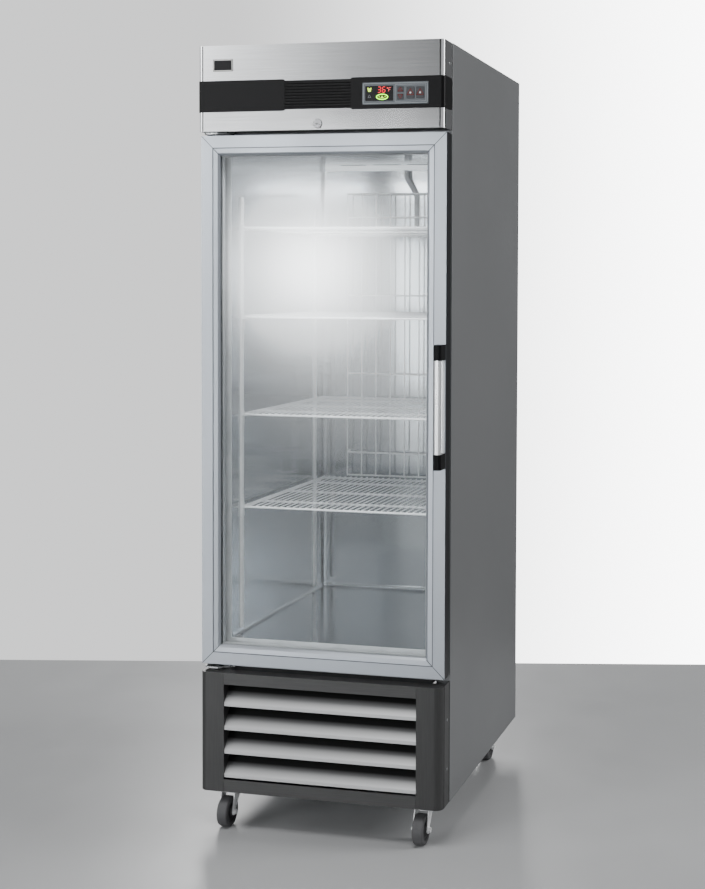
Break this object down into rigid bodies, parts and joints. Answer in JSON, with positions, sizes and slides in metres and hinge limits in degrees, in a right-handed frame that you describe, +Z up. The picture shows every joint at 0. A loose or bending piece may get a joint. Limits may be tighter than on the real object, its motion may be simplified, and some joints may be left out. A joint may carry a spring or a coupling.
{
  "type": "reach in refrigerator",
  "caption": "Upright glass-door refrigerator on casters with a stainless control header, wire shelves and a louvred foot grille.",
  "frame": {"origin": "centre of the object's footprint, on the floor", "axes": "+X to the right as seen from the front, +Y from front to back, +Z up"},
  "size_m": [0.68, 0.862, 2.096],
  "materials": {
    "graphite_steel": "dark grey satin coated sheet steel",
    "grille_steel": "near-black satin coated sheet steel, brushed along each member",
    "hood_steel": "brushed stainless sheet",
    "liner_steel": "bright stainless liner sheet",
    "plain_galvanised": "galvanised sheet",
    "foam": "rigid foam, pale yellow",
    "grey_trim": "grey moulded trim",
    "door_aluminium": "satin anodised aluminium",
    "handle_aluminium": "bright anodised aluminium",
    "spacer_aluminium": "dull grey spacer bar",
    "door_glass": "clear tempered glass",
    "gasket_vinyl": "soft black vinyl",
    "black_plastic": "textured black plastic",
    "bush_nylon": "black nylon",
    "bezel_grey": "grey blue printed panel",
    "display_dark": "smoked display window",
    "key_dark": "dark grey key",
    "lock_chrome": "bright plated lock",
    "badge_black": "blank black plate with a light edge",
    "zinc": "zinc plated steel",
    "slat_grey": "light grey coated slats",
    "white_wire": "white coated wire",
    "fin_aluminium": "plain aluminium fins",
    "motor_grey": "grey motor casing",
    "fan_plastic": "black moulded fan",
    "compressor_black": "gloss black compressor shell",
    "copper": "copper tube",
    "lamp_white": "white lamp diffuser, lit",
    "hose_grey": "grey flexible hose",
    "pan_plastic": "black moulded pan",
    "box_grey": "grey sheet box",
    "caster_chrome": "bright plated fork",
    "caster_rubber": "dark grey tread"
  },
  "bodies": {
    "cabinet": {"side_panel_left": "graphite_steel", "side_panel_right": "graphite_steel", "top_panel": "graphite_steel", "back_panel": "plain_galvanised", "base_pan": "plain_galvanised", "sill_rail": "graphite_steel", "foam_insulation": "foam", "interior_liner": "liner_steel", "breaker_frame": "grey_trim", "header_hood": "hood_steel", "header_band": "black_plastic", "control_bezel": "bezel_grey", "display_window": "display_dark", "badge_plate": "badge_black", "lock_body": "lock_chrome", "grille_cover": "grille_steel", "grille_slats": "slat_grey", "panel_screws": "zinc", "hinge_brackets": "zinc", "shelf_standards": "zinc", "wire_guard": "white_wire", "evaporator_cover": "liner_steel", "evaporator_coil": "fin_aluminium", "evaporator_motor": "motor_grey", "led_lamp": "lamp_white", "drain_hose": "hose_grey", "condenser_coil": "fin_aluminium", "condenser_fan_mount": "plain_galvanised", "compressor": "compressor_black", "drip_pan": "pan_plastic", "electrical_box": "box_grey", "refrigerant_lines": "copper", "caster_plates": "zinc"},
    "door": {"door_stiles": "door_aluminium", "door_rails": "door_aluminium", "glass_panes": "door_glass", "glass_spacer": "spacer_aluminium", "door_gasket": "gasket_vinyl", "hinge_bushes": "bush_nylon", "handle_bar": "handle_aluminium", "handle_caps": "black_plastic"},
    "lock_plug": {"lock_plug": "lock_chrome"},
    "key_up": {"key_up": "key_dark"},
    "key_down": {"key_down": "key_dark"},
    "key_defrost": {"key_defrost": "key_dark"},
    "key_alarm": {"key_alarm": "key_dark"},
    "shelf_1": {"shelf_1": "white_wire"},
    "shelf_2": {"shelf_2": "white_wire"},
    "shelf_3": {"shelf_3": "white_wire"},
    "shelf_4": {"shelf_4": "white_wire"},
    "evaporator_fan": {"evaporator_fan": "fan_plastic"},
    "condenser_fan": {"condenser_fan": "fan_plastic"},
    "caster_fork_front_left": {"caster_fork_front_left": "caster_chrome"},
    "caster_wheel_front_left": {"caster_wheel_front_left": "caster_rubber"},
    "caster_fork_front_right": {"caster_fork_front_right": "caster_chrome"},
    "caster_wheel_front_right": {"caster_wheel_front_right": "caster_rubber"},
    "caster_fork_rear_left": {"caster_fork_rear_left": "caster_chrome"},
    "caster_wheel_rear_left": {"caster_wheel_rear_left": "caster_rubber"},
    "caster_fork_rear_right": {"caster_fork_rear_right": "caster_chrome"},
    "caster_wheel_rear_right": {"caster_wheel_rear_right": "caster_rubber"}
  },
  "joints": [
    {"name": "door_swing", "type": "hinge", "parent": "cabinet", "child": "door", "pos_m": [-0.322, -0.365, 1.15], "axis": [0, 0, -1], "range_deg": [0, 120]},
    {"name": "lock_turn", "type": "hinge", "parent": "cabinet", "child": "lock_plug", "pos_m": [-0.004, -0.403, 1.886], "axis": [0, 1, 0], "range_deg": [0, 90]},
    {"name": "key_up_press", "type": "slide", "parent": "cabinet", "child": "key_up", "axis": [0, 1, 0], "range_m": [0, 0.0008], "stiffness_N_per_m": 900},
    {"name": "key_down_press", "type": "slide", "parent": "cabinet", "child": "key_down", "axis": [0, 1, 0], "range_m": [0, 0.0008], "stiffness_N_per_m": 900},
    {"name": "key_defrost_press", "type": "slide", "parent": "cabinet", "child": "key_defrost", "axis": [0, 1, 0], "range_m": [0, 0.0008], "stiffness_N_per_m": 900},
    {"name": "key_alarm_press", "type": "slide", "parent": "cabinet", "child": "key_alarm", "axis": [0, 1, 0], "range_m": [0, 0.0008], "stiffness_N_per_m": 900},
    {"name": "shelf_1_lift", "type": "slide", "parent": "cabinet", "child": "shelf_1", "axis": [0, 0, 1], "range_m": [0, 0.012]},
    {"name": "shelf_2_lift", "type": "slide", "parent": "cabinet", "child": "shelf_2", "axis": [0, 0, 1], "range_m": [0, 0.012]},
    {"name": "shelf_3_lift", "type": "slide", "parent": "cabinet", "child": "shelf_3", "axis": [0, 0, 1], "range_m": [0, 0.012]},
    {"name": "shelf_4_lift", "type": "slide", "parent": "cabinet", "child": "shelf_4", "axis": [0, 0, 1], "range_m": [0, 0.012]},
    {"name": "evaporator_fan_spin", "type": "hinge", "parent": "cabinet", "child": "evaporator_fan", "pos_m": [0, -0.09, 1.863], "axis": [0, 0, 1], "continuous": true},
    {"name": "condenser_fan_spin", "type": "hinge", "parent": "cabinet", "child": "condenser_fan", "pos_m": [-0.08, -0.217, 0.262], "axis": [0, 1, 0], "continuous": true},
    {"name": "caster_swivel_front_left", "type": "hinge", "parent": "cabinet", "child": "caster_fork_front_left", "pos_m": [-0.274, -0.335, 0.09], "axis": [0, 0, 1], "continuous": true},
    {"name": "caster_roll_front_left", "type": "hinge", "parent": "caster_fork_front_left", "child": "caster_wheel_front_left", "pos_m": [-0.274, -0.369, 0.04], "axis": [1, 0, 0], "continuous": true},
    {"name": "caster_swivel_front_right", "type": "hinge", "parent": "cabinet", "child": "caster_fork_front_right", "pos_m": [0.274, -0.335, 0.09], "axis": [0, 0, 1], "continuous": true},
    {"name": "caster_roll_front_right", "type": "hinge", "parent": "caster_fork_front_right", "child": "caster_wheel_front_right", "pos_m": [0.274, -0.369, 0.04], "axis": [1, 0, 0], "continuous": true},
    {"name": "caster_swivel_rear_left", "type": "hinge", "parent": "cabinet", "child": "caster_fork_rear_left", "pos_m": [-0.274, 0.355, 0.09], "axis": [0, 0, 1], "continuous": true},
    {"name": "caster_roll_rear_left", "type": "hinge", "parent": "caster_fork_rear_left", "child": "caster_wheel_rear_left", "pos_m": [-0.274, 0.321, 0.04], "axis": [1, 0, 0], "continuous": true},
    {"name": "caster_swivel_rear_right", "type": "hinge", "parent": "cabinet", "child": "caster_fork_rear_right", "pos_m": [0.274, 0.355, 0.09], "axis": [0, 0, 1], "continuous": true},
    {"name": "caster_roll_rear_right", "type": "hinge", "parent": "caster_fork_rear_right", "child": "caster_wheel_rear_right", "pos_m": [0.274, 0.321, 0.04], "axis": [1, 0, 0], "continuous": true}
  ]
}
